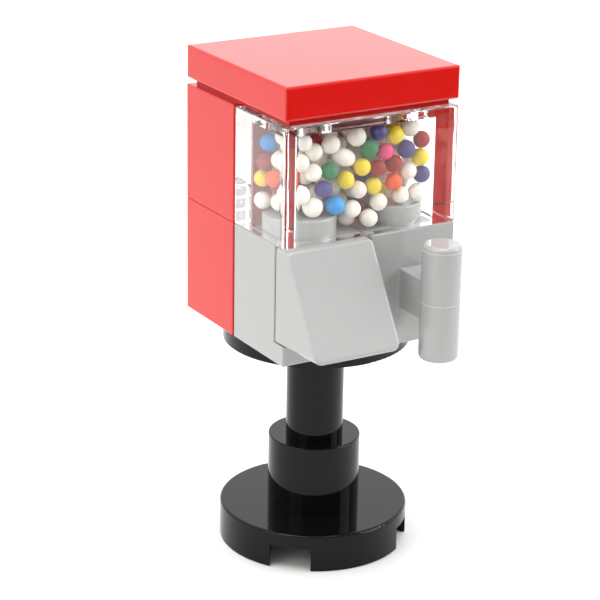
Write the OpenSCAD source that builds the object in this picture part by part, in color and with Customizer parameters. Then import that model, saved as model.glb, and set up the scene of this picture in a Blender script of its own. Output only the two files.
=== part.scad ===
// Miniature gumball machine built from stacking bricks on an 8 mm grid.
// A round stand carries a block two studs wide and two studs deep.
// The back half is two solid-coloured bricks, the front half is a coin and chute course
// under a clear hopper full of gumballs, and a smooth lid closes the top.
// Origin: centre of the stand's underside. -Y is the front, +Z is up. Millimetres.

/* [Building grid] */
// Distance between stud centres
pitch = 8; // [7.8:0.1:8.4]
// Height of one brick course
brick_h = 9.6; // [9.4:0.1:10.4]
// Height of the lid and of the stand's foot
plate_h = 3.2; // [3.1:0.1:3.6]
// Gap left on each side of a brick
side_play = 0.1; // [0.06:0.01:0.14]
// Diameter of a stud
stud_d = 4.8; // [4.7:0.05:4.9]
// Height of a stud
stud_h = 1.6; // [1.4:0.05:1.7]
// Radial clearance of a stud in its socket
clutch_gap = 0.03; // [0.01:0.01:0.06]
// Thickness of a brick's roof
roof_t = 1; // [0.8:0.1:1.4]
// Diameter of the hollow moulded under a stud
dimple_d = 3; // [2:0.1:3.4]
// Diameter of the standard bar, and of every hole that takes one
bar_d = 3.2; // [3:0.05:3.3]
// Rounding of the bricks' outer edges
brick_round = 0.12; // [0.06:0.02:0.2]
// Rounding of a stud's top edge
stud_round = 0.15; // [0.06:0.03:0.3]

/* [Stand] */
// Diameter of the thick lower post
post_d = 7.7; // [6.8:0.1:9]
// Height of the top of the lower post
post_top = 9.2; // [6:0.1:12]
// Diameter of the slim stem
stem_d = 4.8; // [4.4:0.1:6]
// Diameter of the round flange under the bricks
flange_d = 15.5; // [14.8:0.1:15.8]
// Thickness of the round flange under the bricks
flange_t = 1.3; // [1.2:0.1:2]
// Width of the four notches in the foot's rim
notch_w = 3.5; // [3:0.1:4.6]
// Height of the four notches in the foot's rim
notch_h = 2; // [1.7:0.05:2.2]
// Rounding of the foot's top edge
foot_round = 0.22; // [0.1:0.02:0.4]
// Rounding of the stand's other round edges
stand_round = 0.12; // [0.06:0.02:0.3]

/* [Chute] */
// How far the front of the chute brick is set back
recess = 1.4; // [1.2:0.1:1.45]
// How far the chute wedge stands off the recessed front
wedge_gap = 0.25; // [0.05:0.05:0.3]
// Depth of the chute wedge at its thick lower end
wedge_d = 6.4; // [6:0.1:7]
// Depth of the chute wedge at its thin upper end
wedge_edge = 1.7; // [1.5:0.1:2]
// Rounding of the wedge's front edges
wedge_round = 0.3; // [0.2:0.05:0.4]
// Corner radius of the wedge at its lower end, seen from the front
wedge_corner = 0.7; // [0.5:0.05:0.8]
// Corner radius of the wedge at its upper end, seen from the front
wedge_top_corner = 0.4; // [0.4:0.05:0.6]
// Corner radius of the wedge at its open side
wedge_back_corner = 0.25; // [0.1:0.05:0.4]
// Wall of the wedge, square to its sloping face
wedge_wall = 1; // [0.8:0.1:1.2]

/* [Handle] */
// Length of the upright handle bar
grip_len = 9.5; // [8.5:0.1:9.6]
// Distance from the brick's front face to the axis of the bar
grip_reach = 4.05; // [3.6:0.05:5]
// Width of the arm that carries the bar
arm_w = 2.4; // [1.6:0.1:2.8]
// Height of the arm that carries the bar
arm_h = 3.3; // [2.4:0.1:4]
// Rounding of the bar's ends
grip_round = 0.32; // [0.1:0.02:0.4]
// Height of the slightly slimmer cap at the top of the bar
grip_cap = 0.45; // [0.3:0.05:0.8]
// Fillet where the arm meets the brick
arm_fillet = 0.2; // [0.1:0.05:0.3]

/* [Hopper] */
// Rounding of the hopper's outer edges
hopper_round = 0.16; // [0.06:0.02:0.3]
// Rounding of the hopper's upright inner corners
hopper_inner_round = 0.35; // [0.1:0.05:0.6]
// Air gap that the hopper keeps to the bricks below it and to the lid above it
seat_gap = 0.02; // [0.01:0.01:0.05]

/* [Lid] */
// Thickness of the lid's top
lid_roof = 1.2; // [1:0.05:1.4]
// Height of the finger groove under the lid's edge
groove_h = 0.5; // [0.3:0.05:0.8]
// Depth of the finger groove under the lid's edge
groove_in = 0.6; // [0.3:0.05:0.8]
// Rounding of the lid's edges
lid_round = 0.2; // [0.1:0.02:0.3]

/* [Gumballs] */
// Diameter of an ordinary gumball
ball_d = 1.5; // [1.3:0.05:1.6]
// How much a gumball's size may differ from the ordinary one, as a share
ball_spread = 0.06; // [0:0.01:0.1]
// How much bigger the big gumballs are, as a share
ball_big = 0.14; // [0:0.01:0.2]
// How much longer the oblong gumball is, as a share
ball_long = 0.4; // [0.1:0.05:0.5]
// Smallest gap between two gumballs
ball_gap = 0.01; // [0.01:0.01:0.05]
// Which random filling is used
ball_seed = 11; // [1:1:99]
// Rounds of pushing touching gumballs apart
settle_rounds = 40; // [10:5:80]

/* [Hidden] */
$fn = 64;
through = 1;                                     // how far a cutter runs past a face

// Brick sizes that follow from the grid
half = pitch / 2;                                // grid line to stud centre
block = pitch - 2 * side_play;                   // outside of a one-stud block
stud_r = stud_d / 2;
bar_r = bar_d / 2;
socket = stud_d + 2 * clutch_gap;                // square socket that grips one stud
socket_h = stud_h + 0.05;                        // least depth of a socket
wall_t = (block - socket) / 2;
pin_r = half - stud_r - clutch_gap;              // pin under a two-stud brick
tube_r = half * sqrt(2) - stud_r - clutch_gap;   // tube between four studs
disc_r = pitch - side_play;                      // round foot
dimple_h = roof_t + stud_h / 5;                  // hollow under a stud

// Levels
stand_h = 2 * brick_h;
course_1 = stand_h;
course_2 = course_1 + brick_h;
lid_z = course_2 + brick_h;

// Handle
grip_step = 0.04;                                // the cap is this much smaller in radius
ridge = 0.04;                                    // height of the parting ridge

// Chute wedge, seen from the side
sill_h = socket_h;                               // lip under the recess
side_stud_z = brick_h - half;                    // centre of the sideways stud
wedge_run = wedge_d - wedge_edge;
wedge_len = norm([wedge_run, block]);
slope_sin = wedge_run / wedge_len;
slope_cos = block / wedge_len;

// Gumball hopper inside
ball_cell = 0.4;                                 // pitch of the filling charts
cave_x = pitch - side_play - wall_t;             // half its width
cave_front = -half - socket / 2;
cave_back = -half + socket / 2;
cave_floor = course_2;
cave_top = lid_z - roof_t;
stud_top = course_2 + stud_h;
layer_y = [cave_front + ball_d / 2, -half, cave_back - ball_d / 2];
oblong_tilt = 25;                                // slope of the oblong gumball

// The filling, drawn from the front: one chart for each of three layers, front layer first.
// A letter is a gumball's colour, W is a big white one, O an oblong white one and a dot
// an empty place.
CHARTS = [
    [
        ".............................",
        ".w.................n.........",
        "..w...w.....w.........y.w....",
        "w..............g........n..r.",
        "....................p........",
        "..........O..................",
        "...w.........y.............y.",
        "........g.........r...r......",
        "..........y..................",
        ".........................w...",
        ".....n.......................",
        ".W...........w...y..........n",
        "....W..................o.....",
        ".......................w...w.",
        "........s....................",
        "............w.....w..........",
        ".............................",
        "................w............"
    ],
    [
        "..w......w...w.........y.....",
        "......r....................r.",
        "................w...w........",
        "...........w.................",
        ".........................w...",
        ".W.....w.....................",
        "..........w...w....w.........",
        ".............................",
        "o...w..................w.....",
        "........w....w...n..........w",
        ".....................w.......",
        ".............................",
        "......w...w...w...........w..",
        ".w...........................",
        ".....................y.......",
        "............w................",
        ".............................",
        "..............w..r..........."
    ],
    [
        ".....w....w...w...w.....y....",
        ".............................",
        ".............................",
        "........w...w...w....w.......",
        ".........................w...",
        ".s..w........................",
        "..........w...r.....w........",
        "r.......................w....",
        "y................w...........",
        "....w..w.....................",
        ".............y.......w.......",
        "..........w..................",
        "..r..............o...........",
        ".......w.....................",
        "w...w.........w.......w......",
        "..........w..................",
        ".................r...........",
        ".............w..............."
    ]
];

// ---- bricks -------------------------------------------------------------------------

// Centres of the studs of a brick that is nx studs wide, about the brick's own centre
function stud_spots(nx) = [for (i = [0 : nx - 1]) (i - (nx - 1) / 2) * pitch];

// Rectangle about the origin with its corners rounded
module soft_rectangle(size, r) {
    square([size.x - 2 * r, size.y], center = true);
    square([size.x, size.y - 2 * r], center = true);
    for (x = [-1, 1], y = [-1, 1])
        translate([x * (size.x / 2 - r), y * (size.y / 2 - r)]) circle(r);
}

// Block about the z axis, standing on z = 0, with all its edges rounded
module soft_block(size, r) {
    translate([0, 0, size.z / 2])
        intersection() {
            linear_extrude(size.z + 2 * through, center = true)
                soft_rectangle([size.x, size.y], r);
            rotate([90, 0, 0])
                linear_extrude(size.y + 2 * through, center = true)
                    soft_rectangle([size.x, size.z], r);
            rotate([90, 0, 90])
                linear_extrude(size.x + 2 * through, center = true)
                    soft_rectangle([size.y, size.z], r);
        }
}

// Disc with its top edge rounded, and its bottom edge too where under is given
module rounded_disc(r, h, edge, under = 0) {
    rotate_extrude() {
        square([r - max(edge, under), h]);
        translate([0, under]) square([r, h - edge - under]);
        translate([r - edge, h - edge]) circle(edge);
        if (under > 0) translate([r - under, under]) circle(under);
    }
}

// Solid brick outside, nx studs wide and one deep, standing on z = 0. The block keeps gap
// free at its foot and at its top.
module brick_block(nx, round = brick_round, gap = 0) {
    size = [nx * pitch - 2 * side_play, block, brick_h - 2 * gap];
    translate([0, 0, gap]) soft_block(size, round);
    for (x = stud_spots(nx)) translate([x, 0, 0]) stud(brick_h + stud_h);
}

// Round stud whose top is h above the brick's foot
module stud(h) {
    rounded_disc(stud_r, h, stud_round);
}

// Space under the roof of that brick, with its upright corners rounded where round is given
module brick_hollow(nx, round = 0) {
    size = [(nx - 1) * pitch + socket, socket];
    translate([0, 0, -through])
        linear_extrude(brick_h - roof_t + through) {
            if (round > 0) soft_rectangle(size, round);
            else square(size, center = true);
        }
}

// Round hollows moulded into the underside of the studs
module stud_dimples(nx) {
    for (x = stud_spots(nx))
        translate([x, 0, brick_h - roof_t - through])
            cylinder(d = dimple_d, h = dimple_h + through);
}

module brick(nx) {
    difference() {
        brick_block(nx);
        brick_hollow(nx);
        stud_dimples(nx);
    }
}

module two_stud_brick_with_pin() {
    brick(2);
    cylinder(r = pin_r, h = brick_h - roof_t / 2);
}

// ---- stand --------------------------------------------------------------------------

// Places of the four studs over the grid's centre
module four_studs() {
    for (x = [-half, half], y = [-half, half]) translate([x, y, 0]) children();
}

// Underside of the foot: a ring, four stud sockets and four notches in the rim
module foot_underside() {
    rim_in = disc_r - wall_t;
    difference() {
        translate([0, 0, -through]) cylinder(r = rim_in, h = plate_h - roof_t + through);
        translate([0, 0, -2 * through]) cylinder(r = tube_r, h = plate_h + 3 * through);
    }
    four_studs() translate([0, 0, -through]) cylinder(d = socket, h = socket_h + through);
    for (a = [45 : 90 : 315])
        rotate([0, 0, a])
            translate([rim_in - through, -notch_w / 2, -through])
                cube([wall_t + 2 * through, notch_w, notch_h + through]);
}

module stand() {
    color("#1c1c1e")
        difference() {
            union() {
                rounded_disc(disc_r, plate_h, foot_round, stand_round);
                rounded_disc(post_d / 2, post_top, stand_round);
                cylinder(d = stem_d, h = stand_h - flange_t / 2);
                translate([0, 0, stand_h - flange_t])
                    rounded_disc(flange_d / 2, flange_t, stand_round, stand_round);
                intersection() {
                    four_studs() translate([0, 0, stand_h - flange_t / 2])
                        stud(flange_t / 2 + stud_h);
                    cylinder(d = flange_d, h = stand_h + 2 * stud_h);
                }
            }
            foot_underside();
            translate([0, 0, -through]) cylinder(r = bar_r, h = stand_h + 2 * through);
        }
}

// ---- front course -------------------------------------------------------------------

// Brick with a recessed front, a lip under it and a hollow stud that points forwards
module chute_brick() {
    face_y = -block / 2 + recess;
    inner_y = face_y + wall_t;
    color("#a3a2a4")
        translate([-half, -half, course_1])
            difference() {
                union() {
                    translate([0, recess / 2, 0])
                        soft_block([block, block - recess, brick_h], brick_round);
                    soft_block([block, block, sill_h], brick_round);
                    stud(brick_h + stud_h);
                    translate([0, inner_y, side_stud_z])
                        rotate([90, 0, 0]) stud(wall_t + stud_h);
                }
                translate([-socket / 2, -socket / 2, -through])
                    cube([socket, socket, socket_h + through]);
                translate([-socket / 2, inner_y, -through])
                    cube([socket, socket / 2 - inner_y, brick_h - roof_t + through]);
                translate([-socket / 2, 0, side_stud_z - socket / 2]) cube([socket, pitch, socket]);
                translate([0, 0, side_stud_z]) rotate([90, 0, 0]) cylinder(r = bar_r, h = pitch);
            }
}

// Outside of the wedge: its open side on y = 0, growing towards -y, centred on its stud
module wedge_solid() {
    hull($fn = 24) {
        for (x_side = [-1, 1], turn = [0 : 22.5 : 90]) {
            wedge_ball(x_side, -1, wedge_corner - wedge_round, turn);
            wedge_ball(x_side, 1, wedge_top_corner - wedge_round, turn);
        }
        for (x_side = [-1, 1], z_side = [-1, 1]) wedge_foot(x_side, z_side);
    }
}

// Ball that rounds the front edges at one place of one corner
module wedge_ball(x_side, z_side, arc, turn) {
    x = block / 2 - wedge_round - arc * (1 - sin(turn));
    z = z_side * (block / 2 - wedge_round - arc * (1 - cos(turn)));
    face_y = -wedge_d + (z + block / 2) * wedge_run / block;
    translate([x_side * x, face_y + wedge_round / slope_cos, z]) sphere(wedge_round);
}

// One corner at the open side
module wedge_foot(x_side, z_side) {
    place = block / 2 - wedge_back_corner;
    translate([x_side * place, 0, z_side * place])
        rotate([90, 0, 0]) cylinder(r = wedge_back_corner, h = wedge_back_corner);
}

// Space inside the wedge: a square socket that deepens along the slope
module wedge_hollow() {
    skin = wedge_wall / slope_cos;
    slope = wedge_run / block;
    deep_y = -wedge_d + (block - socket) / 2 * slope + skin;
    bend_z = -block / 2 + (wedge_d - skin - socket_h) / slope;
    translate([socket / 2, 0, 0])
        rotate([90, 0, -90])
            linear_extrude(socket)
                polygon([
                    [-through, -socket / 2],
                    [-deep_y, -socket / 2],
                    [socket_h, bend_z],
                    [socket_h, socket / 2],
                    [-through, socket / 2]
                ]);
}

module chute() {
    color("#a3a2a4")
        translate([-half, -pitch + side_play + recess - wedge_gap, course_1 + side_stud_z])
            difference() {
                wedge_solid();
                wedge_hollow();
            }
}

// Upright bar about the z axis, centred on z = 0, with a fine parting ridge at mid-height
module grip() {
    rounded_disc(bar_r - grip_step, grip_len / 2, grip_round);
    cylinder(r = bar_r, h = grip_len / 2 - grip_cap);
    mirror([0, 0, 1]) rounded_disc(bar_r, grip_len / 2, grip_round);
    cylinder(r = bar_r + ridge / 2, h = ridge, center = true);
}

// Arm from the wall at y = 0 to the bar, with fillets at its two upright roots
module grip_arm() {
    reach = grip_reach + wall_t / 2;
    translate([0, reach / 2 - grip_reach, -arm_h / 2])
        soft_block([arm_w, reach, arm_h], brick_round);
    for (side = [-1, 1])
        mirror([(1 - side) / 2, 0, 0])
            translate([arm_w / 2, 0, -arm_h / 2])
                linear_extrude(arm_h)
                    difference() {
                        translate([-arm_fillet, -arm_fillet]) square(2 * arm_fillet);
                        translate([arm_fillet, -arm_fillet]) circle(arm_fillet);
                    }
}

// Brick with an upright bar that one arm holds in front of it
module handle_brick() {
    color("#a3a2a4")
        translate([half, -half, course_1]) {
            brick(1);
            translate([0, -block / 2, brick_h / 2]) {
                grip_arm();
                translate([0, -grip_reach, 0]) grip();
            }
        }
}

// ---- back, hopper and lid -----------------------------------------------------------

module back_brick_lower() {
    color("#d01012") translate([0, half, course_1]) two_stud_brick_with_pin();
}

module back_brick_upper() {
    color("#d01012") translate([0, half, course_2]) two_stud_brick_with_pin();
}

module hopper() {
    color("white", 0.35)
        translate([0, -half, course_2])
            difference() {
                brick_block(2, hopper_round, seat_gap);
                brick_hollow(2, hopper_inner_round);
                stud_dimples(2);
            }
}

// Smooth lid two studs square, with a finger groove round its foot
module lid() {
    width = 2 * pitch - 2 * side_play;
    foot = width - 2 * groove_in;
    inside = pitch + socket;
    color("#e01513")
        translate([0, 0, lid_z]) {
            difference() {
                union() {
                    translate([0, 0, groove_h])
                        soft_block([width, width, plate_h - groove_h], lid_round);
                    translate([0, 0, plate_h / 4]) cube([foot, foot, plate_h / 2], center = true);
                }
                translate([-inside / 2, -inside / 2, -through])
                    cube([inside, inside, plate_h - lid_roof + through]);
            }
            difference() {
                cylinder(r = tube_r, h = plate_h - lid_roof / 2);
                translate([0, 0, -through]) cylinder(r = stud_r, h = plate_h - lid_roof + through);
            }
        }
}

// ---- gumballs -----------------------------------------------------------------------

// Every gumball of the charts as [letter, layer, row, column]
function chart_marks() = [
    for (layer = [0 : len(CHARTS) - 1], row = [0 : len(CHARTS[0]) - 1], col = [0 : len(CHARTS[0][0]) - 1])
        let (mark = CHARTS[layer][row][col])
            if (mark != ".") [mark, layer, row, col]
];

// How much bigger a gumball is than an ordinary one, as a share
function extra(mark) = mark == "W" ? ball_big : mark == "O" ? ball_long : 0;

// Place that a chart gives a gumball
function chart_place(m) = [
    (m[3] - (len(CHARTS[0][0]) - 1) / 2) * ball_cell,
    layer_y[m[1]],
    cave_top - ball_d / 2 - m[2] * ball_cell
];

function total(list) = len(list) == 0 ? [0, 0, 0] : [for (e = list) 1] * list;

// Half of the step that opens a gap between two centres to the wanted distance
function shove(apart, wanted) =
    let (distance = max(norm(apart), 0.001))
        distance < wanted ? apart * (wanted - distance) / distance / 2 : [0, 0, 0];

// A ball of radius r at p, moved out of the stud whose centre is [stud_x, -half]
function off_stud(p, r, stud_x) =
    let (
        out = [p.x - stud_x, p.y + half],
        far = max(norm(out), 0.001),
        beside = far - stud_r,
        above = p.z - stud_top,
        reach = norm([max(beside, 0), max(above, 0)])
    )
    reach >= r ? p
    : beside <= 0 ? [p.x, p.y, stud_top + r]
    : let (k = (stud_r + beside * r / max(reach, 0.001)) / far)
        [stud_x + out.x * k, -half + out.y * k, above > 0 ? stud_top + above * r / reach : p.z];

function clamp(v, low, high) = min(max(v, low), high);

// A ball of radius r at p, moved inside the hopper
function in_hopper(p, r) = [
    clamp(p.x, -cave_x + r, cave_x - r),
    clamp(p.y, cave_front + r, cave_back - r),
    clamp(p.z, cave_floor + r, cave_top - r)
];

function confine(p, r) = in_hopper(off_stud(off_stud(p, r, -half), r, half), r);

// Pushes touching balls apart, round after round
function settle(p, r, near, rounds) =
    rounds == 0 ? p : settle(
        [for (i = [0 : len(p) - 1])
            confine(p[i] + total([for (j = near[i]) shove(p[i] - p[j], r[i] + r[j])]), r[i])],
        r, near, rounds - 1
    );

// Distance from p to the nearest wall or stud of the hopper
function room(p) = min(
    cave_x - abs(p.x), p.y - cave_front, cave_back - p.y, p.z - cave_floor, cave_top - p.z,
    min([for (x = [-half, half])
        norm([max(norm([p.x - x, p.y + half]) - stud_r, 0), max(p.z - stud_top, 0)])])
);

// All gumballs as [letter, centre, radius], none of them touching anything
function gumball_list() =
    let (
        marks = chart_marks(),
        count = len(marks),
        luck = rands(-1, 1, 4 * count, ball_seed),
        r = [for (i = [0 : count - 1])
            (ball_d + ball_gap) / 2 * (1 + ball_spread * luck[4 * i] + extra(marks[i][0]))],
        start = [for (i = [0 : count - 1])
            chart_place(marks[i])
            + ball_cell / 6 * [luck[4 * i + 1], luck[4 * i + 2], luck[4 * i + 3]]],
        near = [for (i = [0 : count - 1])
            [for (j = [0 : count - 1]) if (j != i && norm(start[i] - start[j]) < 2 * ball_d) j]],
        spot = settle(start, r, near, settle_rounds)
    )
    [for (i = [0 : count - 1])
        let (
            share = min([for (j = near[i]) norm(spot[i] - spot[j]) * r[i] / (r[i] + r[j])]),
            size = min(r[i], share, room(spot[i])) - ball_gap / 2
        )
        [marks[i][0], spot[i], size]];

// Oblong gumball that fits inside a ball of radius r, with its right end low
module oblong(r) {
    slim = r / (1 + ball_long);
    rotate([0, 90 + oblong_tilt, 0]) {
        cylinder(r = slim, h = 2 * (r - slim), center = true);
        for (end = [-1, 1]) translate([0, 0, end * (r - slim)]) sphere(slim);
    }
}

// The gumballs whose letter is in marks
module gumballs(marks) {
    for (ball = gumball_list())
        if (len(search(ball[0], marks)) > 0)
            translate(ball[1]) {
                if (ball[0] == "O") oblong(ball[2]);
                else sphere(ball[2]);
            }
}

module gumballs_white() { color("#f6f2ee") gumballs("wWO"); }
module gumballs_yellow() { color("#f4dc28") gumballs("y"); }
module gumballs_red() { color("#b32a33") gumballs("r"); }
module gumballs_navy() { color("#45407f") gumballs("n"); }
module gumballs_sky() { color("#3b9fe6") gumballs("s"); }
module gumballs_green() { color("#2f8458") gumballs("g"); }
module gumballs_orange() { color("#fb5c2a") gumballs("o"); }
module gumballs_pink() { color("#e8488c") gumballs("p"); }

stand();
chute_brick();
chute();
handle_brick();
back_brick_lower();
back_brick_upper();
hopper();
lid();
gumballs_white();
gumballs_yellow();
gumballs_red();
gumballs_navy();
gumballs_sky();
gumballs_green();
gumballs_orange();
gumballs_pink();
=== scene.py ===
"""Looks of the toy gumball machine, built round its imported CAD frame."""

import math
import random

import bmesh
import bpy
from mathutils import Matrix, Vector, noise


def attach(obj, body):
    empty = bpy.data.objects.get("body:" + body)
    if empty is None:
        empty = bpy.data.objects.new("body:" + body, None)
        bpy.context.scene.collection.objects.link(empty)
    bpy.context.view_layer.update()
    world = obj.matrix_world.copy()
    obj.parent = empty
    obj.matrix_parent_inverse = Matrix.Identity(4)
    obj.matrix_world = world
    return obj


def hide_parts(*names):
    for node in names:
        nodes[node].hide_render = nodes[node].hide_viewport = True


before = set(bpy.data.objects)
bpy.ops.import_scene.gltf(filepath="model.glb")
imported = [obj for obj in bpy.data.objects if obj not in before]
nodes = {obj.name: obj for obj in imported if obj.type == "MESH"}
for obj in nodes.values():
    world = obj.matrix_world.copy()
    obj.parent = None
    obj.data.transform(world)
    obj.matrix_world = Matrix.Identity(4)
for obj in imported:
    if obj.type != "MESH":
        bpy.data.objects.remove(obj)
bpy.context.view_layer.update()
MM = 0.001

# The camera looks from the front left, a little from above
VIEW_AZIMUTH = math.radians(-31.19)
VIEW_ELEVATION = math.radians(19.93)
VIEW_ROLL = math.radians(1.017)
VIEW_DISTANCE = 177.85 * MM
VIEW_TARGET = Vector((-1.62, 0, 21.21)) * MM
LENS_MM = 130.16

# The lamps: name, place and width in metres, and brightness
SOFTBOXES = (
    ("Top", (-0.05, -0.05, 0.42), 0.30, 4.4),
    ("Right", (0.36, -0.22, 0.20), 0.24, 5.4),
    ("Left", (-0.38, -0.10, 0.22), 0.24, 1.8),
)

# Strength of the room's light from in front and from behind, from below, and of the white
# that the camera sees behind the object
ROOM_FRONT = 0.85
ROOM_BACK = 2.00
ROOM_BELOW = 0.10
BACKDROP = 1.3

# The floor's corners, the stretch in front over which it turns greyer as painted shade, and its
# colours
FLOOR_LOW_MM = (-300, -118, 0)
FLOOR_HIGH_MM = (300, 320, 0)
FADE_FROM_MM = -50.0
FADE_TO_MM = -110.0
PAPER_DARK = (0.78, 0.775, 0.76)
PAPER_LIGHT = (0.80, 0.795, 0.78)
PAPER_PAINTED_SHADE = (0.46, 0.435, 0.40)

# Painted highlights round the handle's bar: fine pale lines where the parting line at its middle
# and the foot of its cap catch the light. Given are their half width, the depth they stay in
# front of, their colour and their heights.
HIGHLIGHT_LINE_HALF_MM = 0.06
HIGHLIGHT_LINE_FRONT_MM = -11.0
HIGHLIGHT_LINE_RGB = (0.47, 0.475, 0.47)
BAR_SEAM_HIGHLIGHTS_MM = (24.0, 28.3)

# How much a plastic's tone drifts either way
CLOUD = 0.012

# Where most of a noise's values lie
NOISE_LOW = 0.3
NOISE_HIGH = 0.7

# Linear colours of the plastics and the sugar shells
RED = (0.560, 0.0070, 0.0050)
GREY = (0.352, 0.358, 0.352)
BLACK = (0.0030, 0.0029, 0.0031)
CLEAR = (1.0, 1.0, 1.0)
CANDY = {
    "white": (0.94, 0.89, 0.81),
    "yellow": (0.90, 0.70, 0.025),
    "red": (0.36, 0.014, 0.018),
    "navy": (0.080, 0.062, 0.25),
    "sky": (0.004, 0.32, 0.76),
    "green": (0.018, 0.23, 0.085),
    "orange": (0.93, 0.120, 0.018),
    "pink": (0.90, 0.075, 0.24),
}

# Linear colours of the dust on each plastic
RED_DUST = (0.75, 0.35, 0.30)
GREY_DUST = (0.80, 0.80, 0.80)
BLACK_DUST = (0.30, 0.25, 0.18)

# A gumball's shape, as shares of its radius: the least and most that one way is squeezed, and
# the depths of its dents and lumps
SQUEEZE = (0.01, 0.07)
DENT_DEPTH = 0.050
LUMP_DEPTH = 0.012
# How closely dents and lumps follow each other, and how far apart two balls' patterns start
DENT_RATE = 1.1
LUMP_RATE = 4.5
PATTERN_REACH = 50
# A ball counts as oblong when it is longer than its radius by this share
OBLONG = 0.1


# ---- node building ---------------------------------------------------------------------


class Nodes:
    """A material's node tree with short ways to add to it. Lengths are in millimetres."""

    def __init__(self, name):
        self.material = bpy.data.materials.new(name)
        self.material.use_nodes = True
        self.tree = self.material.node_tree
        self.tree.nodes.clear()
        self.output = self.add("ShaderNodeOutputMaterial")
        place = self.add("ShaderNodeTexCoord").outputs["Object"]
        self.place = self.vector("MULTIPLY", place, (1 / MM,) * 3)

    def add(self, kind, **settings):
        node = self.tree.nodes.new(kind)
        for name, value in settings.items():
            setattr(node, name, value)
        return node

    def set(self, socket, value):
        if isinstance(value, bpy.types.NodeSocket):
            self.tree.links.new(value, socket)
        else:
            socket.default_value = value

    def maths(self, operation, a, b=0.0, clamp=False):
        node = self.add("ShaderNodeMath", operation=operation, use_clamp=clamp)
        self.set(node.inputs[0], a)
        self.set(node.inputs[1], b)
        return node.outputs[0]

    def vector(self, operation, a, b):
        node = self.add("ShaderNodeVectorMath", operation=operation)
        self.set(node.inputs[0], a)
        self.set(node.inputs[1], b)
        return node.outputs[0]

    def ranged(self, value, low, high, to_low=0.0, to_high=1.0):
        node = self.add("ShaderNodeMapRange")
        for socket, x in zip(node.inputs, (value, low, high, to_low, to_high)):
            self.set(socket, x)
        return node.outputs[0]

    def turned(self, angles, stretch, shift):
        node = self.add("ShaderNodeMapping")
        self.set(node.inputs["Vector"], self.place)
        self.set(node.inputs["Location"], shift)
        self.set(node.inputs["Rotation"], angles)
        self.set(node.inputs["Scale"], stretch)
        return node.outputs[0]

    def split_place(self):
        """A node whose outputs X, Y and Z are the place in millimetres."""
        node = self.add("ShaderNodeSeparateXYZ")
        self.set(node.inputs[0], self.place)
        return node

    def noise(self, per_mm, detail, rough=0.5, place=None):
        node = self.add("ShaderNodeTexNoise")
        self.set(node.inputs["Vector"], place or self.place)
        self.set(node.inputs["Scale"], per_mm)
        self.set(node.inputs["Detail"], detail)
        self.set(node.inputs["Roughness"], rough)
        return node.outputs[0]

    def blend(self, share, a, b):
        node = self.add("ShaderNodeMix", data_type="RGBA")
        self.set(node.inputs["Factor"], share)
        for name, value in (("A", a), ("B", b)):
            socket = [s for s in node.inputs if s.name == name and s.type == "RGBA"][0]
            self.set(socket, (*value, 1.0) if isinstance(value, tuple) else value)
        return [s for s in node.outputs if s.type == "RGBA"][0]

    def bump(self, height, depth_mm, below=None):
        node = self.add("ShaderNodeBump")
        self.set(node.inputs["Height"], height)
        self.set(node.inputs["Distance"], depth_mm * MM)
        if below is not None:
            self.set(node.inputs["Normal"], below)
        return node.outputs[0]

    def finish(self, shader):
        self.tree.links.new(shader, self.output.inputs["Surface"])
        return self.material


def shaded(rgb, by):
    return tuple(min(1.0, c * by) for c in rgb)


def dust(n, per_mm, size, share):
    """Sparse round specks: 1 on a speck, 0 elsewhere."""
    cells = n.add("ShaderNodeTexVoronoi")
    n.set(cells.inputs["Vector"], n.place)
    n.set(cells.inputs["Scale"], per_mm)
    near = n.ranged(cells.outputs["Distance"], size, size * 0.6)
    pick = n.add("ShaderNodeSeparateColor")
    n.set(pick.inputs[0], cells.outputs["Color"])
    chosen = n.maths("LESS_THAN", pick.outputs[0], share)
    return n.maths("MULTIPLY", near, chosen)


def hairlines(n, angles, shift, fine=9.0, at_least=0.70):
    """Short thin scratches that run one way: 1 on a scratch, 0 elsewhere."""
    place = n.turned(angles, (0.5, fine, fine), shift)
    return n.ranged(n.noise(1.0, 2.0, 0.6, place), at_least, at_least + 0.03)


def seam_highlight(n, height):
    """A level painted highlight line on the handle's bar, at a seam: 1 on the line, 0 elsewhere.
    """
    place = n.split_place()
    off = n.maths("ABSOLUTE", n.maths("SUBTRACT", place.outputs["Z"], height))
    line = n.ranged(off, HIGHLIGHT_LINE_HALF_MM, HIGHLIGHT_LINE_HALF_MM / 2)
    return n.maths("MULTIPLY", line, n.maths("LESS_THAN", place.outputs["Y"], HIGHLIGHT_LINE_FRONT_MM))


# ---- materials -------------------------------------------------------------------------


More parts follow.
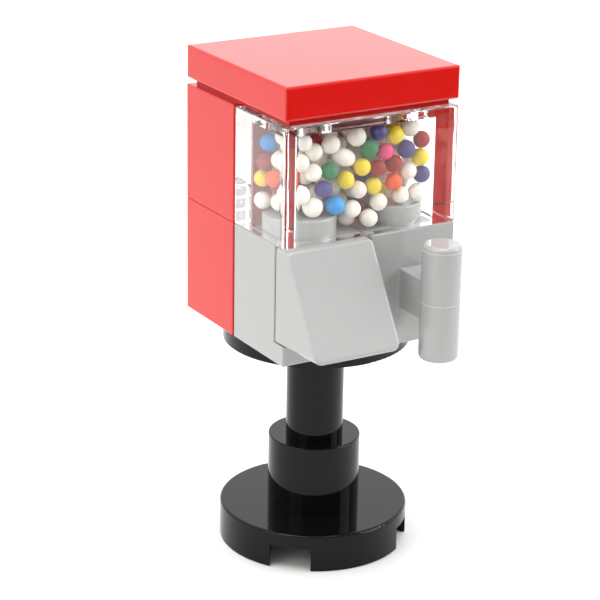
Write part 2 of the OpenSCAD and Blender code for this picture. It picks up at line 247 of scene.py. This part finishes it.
def plastic(name, rgb, rough, ior, speck, seam_highlights=()):
    """Polished moulded plastic with faint clouding, hairline scratches, a little dust and any
    painted highlight lines.
    """
    n = Nodes(name)
    clouding = n.ranged(n.noise(0.32, 3.0), NOISE_LOW, NOISE_HIGH)
    colour = n.blend(clouding, shaded(rgb, 1 - CLOUD), shaded(rgb, 1 + CLOUD))
    # Pale lines painted at the bar's seams stand in for the highlights there
    for height in seam_highlights:
        colour = n.blend(seam_highlight(n, height), colour, HIGHLIGHT_LINE_RGB)
    specks = dust(n, per_mm=1.3, size=0.055, share=0.07)
    colour = n.blend(n.maths("MULTIPLY", specks, 0.7), colour, speck)
    scratches = n.maths(
        "MAXIMUM",
        hairlines(n, (0.3, 0.5, 0.9), (3, 1, 2)),
        hairlines(n, (1.1, -0.4, 2.3), (7, 5, 4)),
    )
    roughness = n.ranged(n.noise(0.8, 4.0), NOISE_LOW, NOISE_HIGH, rough * 0.8, rough * 1.2)
    roughness = n.maths("ADD", roughness, n.maths("MULTIPLY", scratches, 0.12))
    roughness = n.maths("ADD", roughness, n.maths("MULTIPLY", specks, 0.35), clamp=True)
    normal = n.bump(n.noise(0.45, 1.0), 0.0014)
    normal = n.bump(scratches, -0.0005, normal)
    normal = n.bump(specks, 0.004, normal)
    shader = n.add("ShaderNodeBsdfPrincipled")
    n.set(shader.inputs["Base Color"], colour)
    n.set(shader.inputs["Roughness"], roughness)
    n.set(shader.inputs["Normal"], normal)
    shader.inputs["IOR"].default_value = ior
    return n.finish(shader.outputs[0])


def clear_plastic(name):
    """Clear polished plastic that bends light, with flow waves and fine scratches."""
    n = Nodes(name)
    scratches = n.maths(
        "MAXIMUM",
        hairlines(n, (0.2, 0.1, 0.4), (2, 6, 1), fine=14.0, at_least=0.72),
        hairlines(n, (1.5, 0.6, 0.2), (5, 3, 8), fine=14.0, at_least=0.72),
    )
    roughness = n.maths("MULTIPLY", scratches, 0.18)
    normal = n.bump(n.noise(0.55, 1.0), 0.006)
    normal = n.bump(scratches, -0.0010, normal)
    shader = n.add("ShaderNodeBsdfPrincipled")
    shader.inputs["Base Color"].default_value = (*CLEAR, 1.0)
    shader.inputs["Transmission Weight"].default_value = 1.0
    shader.inputs["IOR"].default_value = 1.50
    n.set(shader.inputs["Roughness"], roughness)
    n.set(shader.inputs["Normal"], normal)
    # The lamps' light goes straight through, so the gumballs inside are lit
    lamp = n.add("ShaderNodeBsdfTransparent")
    lamp.inputs["Color"].default_value = (0.985, 0.985, 0.985, 1.0)
    mix = n.add("ShaderNodeMixShader")
    n.set(mix.inputs[0], n.add("ShaderNodeLightPath").outputs["Is Shadow Ray"])
    n.set(mix.inputs[1], shader.outputs[0])
    n.set(mix.inputs[2], lamp.outputs[0])
    return n.finish(mix.outputs[0])


def sugar_shell(name, rgb):
    """Dull candy coating: each ball has its own tone, with fine lumps and paler rubbed spots."""
    n = Nodes(name)
    tone = n.add("ShaderNodeNewGeometry").outputs["Random Per Island"]
    colour = n.blend(tone, shaded(rgb, 0.92), shaded(rgb, 1.05))
    mottle = n.ranged(n.noise(2.6, 4.0, 0.6), 0.35, 0.75)
    colour = n.blend(n.maths("MULTIPLY", mottle, 0.30), colour, shaded(rgb, 0.80))
    rubbed = n.ranged(n.noise(1.7, 5.0, 0.65), 0.60, 0.78)
    pale = tuple(0.75 * c + 0.18 for c in rgb)
    colour = n.blend(n.maths("MULTIPLY", rubbed, 0.35), colour, pale)
    roughness = n.ranged(mottle, 0.0, 1.0, 0.38, 0.56)
    normal = n.bump(n.noise(3.2, 3.0, 0.55), 0.030)
    normal = n.bump(n.noise(16.0, 2.0), 0.0040, normal)
    shader = n.add("ShaderNodeBsdfPrincipled")
    n.set(shader.inputs["Base Color"], colour)
    n.set(shader.inputs["Roughness"], roughness)
    n.set(shader.inputs["Normal"], normal)
    shader.inputs["Subsurface Weight"].default_value = 0.15
    shader.inputs["Subsurface Radius"].default_value = (1.0, 0.8, 0.7)
    shader.inputs["Subsurface Scale"].default_value = 0.25 * MM
    shader.inputs["IOR"].default_value = 1.45
    return n.finish(shader.outputs[0])


def paper(name):
    """Matt white floor with painted shade that turns it greyer far in front."""
    n = Nodes(name)
    shader = n.add("ShaderNodeBsdfPrincipled")
    fibres = n.ranged(n.noise(0.4, 4.0), NOISE_LOW, NOISE_HIGH)
    near = n.blend(fibres, PAPER_DARK, PAPER_LIGHT)
    # Painted shade: greyer far in front, so that glossy faces reflect a darker floor there
    far = n.ranged(n.split_place().outputs["Y"], FADE_FROM_MM, FADE_TO_MM)
    n.set(shader.inputs["Base Color"], n.blend(far, near, PAPER_PAINTED_SHADE))
    shader.inputs["Roughness"].default_value = 0.6
    return n.finish(shader.outputs[0])


# ---- moulded pieces --------------------------------------------------------------------


def finish_moulding(node, material):
    """Gives a CAD node its plastic."""
    for slot in nodes[node].material_slots:
        slot.material = material


# ---- gumballs --------------------------------------------------------------------------


def balls_of(node):
    """Centre, radius and stretch of every separate ball of a CAD node."""
    bm = bmesh.new()
    bm.from_mesh(nodes[node].data)
    bmesh.ops.remove_doubles(bm, verts=bm.verts, dist=0.0001 * MM)
    left = set(bm.verts)
    found = []
    while left:
        island, edge = set(), {next(iter(left))}
        while edge:
            island |= edge
            edge = {e.other_vert(v) for v in edge for e in v.link_edges} - island
        left -= island
        low = Vector([min(v.co[i] for v in island) for i in range(3)])
        high = Vector([max(v.co[i] for v in island) for i in range(3)])
        centre = (low + high) / 2
        outer = max((v.co - centre for v in island), key=lambda arm: arm.length)
        radius = min(high - low) / 2
        longer = outer.length - radius
        stretch = outer.normalized() * longer if longer > OBLONG * radius else Vector()
        found.append((centre, radius, stretch))
    bm.free()
    return sorted(found, key=lambda ball: tuple(ball[0]))


def candy_ball(bm, centre, radius, stretch, luck):
    """Adds one ball: a sphere with a flattened side, shallow dents and fine lumps."""
    axis = stretch.normalized()
    ball = bmesh.ops.create_icosphere(bm, subdivisions=4, radius=1.0)["verts"]
    shift = Vector([luck.uniform(-PATTERN_REACH, PATTERN_REACH) for _ in range(3)])
    squeezed = Vector([luck.gauss(0, 1) for _ in range(3)]).normalized()
    squeeze = luck.uniform(*SQUEEZE)
    for v in ball:
        way = v.co.normalized()
        dent = 0.5 + 0.5 * noise.noise(way * DENT_RATE + shift)
        lump = 0.5 + 0.5 * noise.noise(way * LUMP_RATE + shift)
        out = 1 - squeeze * way.dot(squeezed) ** 2 - DENT_DEPTH * dent - LUMP_DEPTH * lump
        along = way.dot(axis)
        longer = stretch * along * (1.5 - 0.5 * along**2)
        v.co = centre + way * radius * min(1.0, out + LUMP_DEPTH) + longer


def make_gumballs(colour):
    node = "gumballs_" + colour
    luck = random.Random("candy " + colour)
    bm = bmesh.new()
    for centre, radius, stretch in balls_of(node):
        candy_ball(bm, centre, radius, stretch, luck)
    for face in bm.faces:
        face.smooth = True
    mesh = bpy.data.meshes.new("candy_" + colour)
    bm.to_mesh(mesh)
    bm.free()
    mesh.materials.append(sugar_shell("Sugar " + colour, CANDY[colour]))
    candy = bpy.data.objects.new("candy_" + colour, mesh)
    bpy.context.scene.collection.objects.link(candy)
    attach(candy, "hopper")
    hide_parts(node)


# ---- studio ----------------------------------------------------------------------------


def make_camera():
    a, e = VIEW_AZIMUTH, VIEW_ELEVATION
    back = Vector((math.sin(a) * math.cos(e), -math.cos(a) * math.cos(e), math.sin(e)))
    right = Vector((math.cos(a), math.sin(a), 0))
    axes = Matrix((right, back.cross(right), back)).transposed().to_4x4()
    data = bpy.data.cameras.new("Camera")
    data.sensor_width = 36
    data.lens = LENS_MM
    data.clip_start = 0.01
    camera = bpy.data.objects.new("Camera", data)
    place = Matrix.Translation(VIEW_TARGET + back * VIEW_DISTANCE)
    camera.matrix_world = place @ axes @ Matrix.Rotation(VIEW_ROLL, 4, "Z")
    bpy.context.scene.collection.objects.link(camera)
    bpy.context.scene.camera = camera


def softbox(name, place, size, radiance):
    """A square lamp of the given brightness that faces the object."""
    data = bpy.data.lights.new(name, "AREA")
    data.shape = "SQUARE"
    data.size = size
    data.energy = radiance * math.pi * size * size
    lamp = bpy.data.objects.new(name, data)
    lamp.location = place
    lamp.rotation_euler = (Vector(place) - VIEW_TARGET).to_track_quat("Z", "Y").to_euler()
    bpy.context.scene.collection.objects.link(lamp)


def make_room():
    """White to the eye. It lights more from above and behind than from the front and below."""
    world = bpy.data.worlds.new("Room")
    bpy.context.scene.world = world
    world.use_nodes = True
    tree = world.node_tree
    tree.nodes.clear()
    way = tree.nodes.new("ShaderNodeSeparateXYZ")
    tree.links.new(tree.nodes.new("ShaderNodeTexCoord").outputs["Generated"], way.inputs[0])

    def ranged(value, *limits):
        node = tree.nodes.new("ShaderNodeMapRange")
        node.interpolation_type = "SMOOTHSTEP"
        tree.links.new(value, node.inputs[0])
        for socket, x in zip(node.inputs[1:5], limits):
            if isinstance(x, bpy.types.NodeSocket):
                tree.links.new(x, socket)
            else:
                socket.default_value = x
        return node.outputs[0]

    around = ranged(way.outputs["Y"], -0.75, 0.25, ROOM_FRONT, ROOM_BACK)
    strength = ranged(way.outputs["Z"], -0.12, 0.05, ROOM_BELOW, around)
    background = tree.nodes.new("ShaderNodeBackground")
    tree.links.new(strength, background.inputs["Strength"])
    white = tree.nodes.new("ShaderNodeBackground")
    white.inputs["Strength"].default_value = BACKDROP
    mix = tree.nodes.new("ShaderNodeMixShader")
    tree.links.new(tree.nodes.new("ShaderNodeLightPath").outputs["Is Camera Ray"], mix.inputs[0])
    tree.links.new(background.outputs[0], mix.inputs[1])
    tree.links.new(white.outputs[0], mix.inputs[2])
    output = tree.nodes.new("ShaderNodeOutputWorld")
    tree.links.new(mix.outputs[0], output.inputs["Surface"])


def make_floor():
    """A sheet of paper that runs far back and stops a little way in front."""
    low, high = Vector(FLOOR_LOW_MM) * MM, Vector(FLOOR_HIGH_MM) * MM
    mesh = bpy.data.meshes.new("Floor")
    corners = [(low.x, low.y, 0), (high.x, low.y, 0), (high.x, high.y, 0), (low.x, high.y, 0)]
    mesh.from_pydata(corners, [], [(0, 1, 2, 3)])
    mesh.materials.append(paper("Paper"))
    floor = bpy.data.objects.new("Floor", mesh)
    bpy.context.scene.collection.objects.link(floor)


def set_light_paths():
    """The hopper's walls pass light on by many inner reflections."""
    cycles = bpy.context.scene.cycles
    cycles.max_bounces = 26
    cycles.glossy_bounces = 20
    cycles.transmission_bounces = 16


# ---- the scene -------------------------------------------------------------------------

make_camera()
make_room()
make_floor()
for lamp in SOFTBOXES:
    softbox(*lamp)
bpy.context.scene.view_settings.view_transform = "Standard"
set_light_paths()

red = plastic("Red plastic", RED, rough=0.10, ior=1.50, speck=RED_DUST)
grey = plastic("Grey plastic", GREY, rough=0.05, ior=1.50, speck=GREY_DUST)
# The handle's bar gets the painted highlight lines
handle_grey = plastic(
    "Handle plastic", GREY, rough=0.05, ior=1.50, speck=GREY_DUST, seam_highlights=BAR_SEAM_HIGHLIGHTS_MM
)
black = plastic("Black plastic", BLACK, rough=0.05, ior=1.27, speck=BLACK_DUST)
clear = clear_plastic("Clear plastic")

finish_moulding("stand", black)
for front_piece in ("chute_brick", "chute"):
    finish_moulding(front_piece, grey)
finish_moulding("handle_brick", handle_grey)
for back_piece in ("back_brick_lower", "back_brick_upper"):
    finish_moulding(back_piece, red)
finish_moulding("lid", red)
finish_moulding("hopper", clear)
for colour in CANDY:
    make_gumballs(colour)
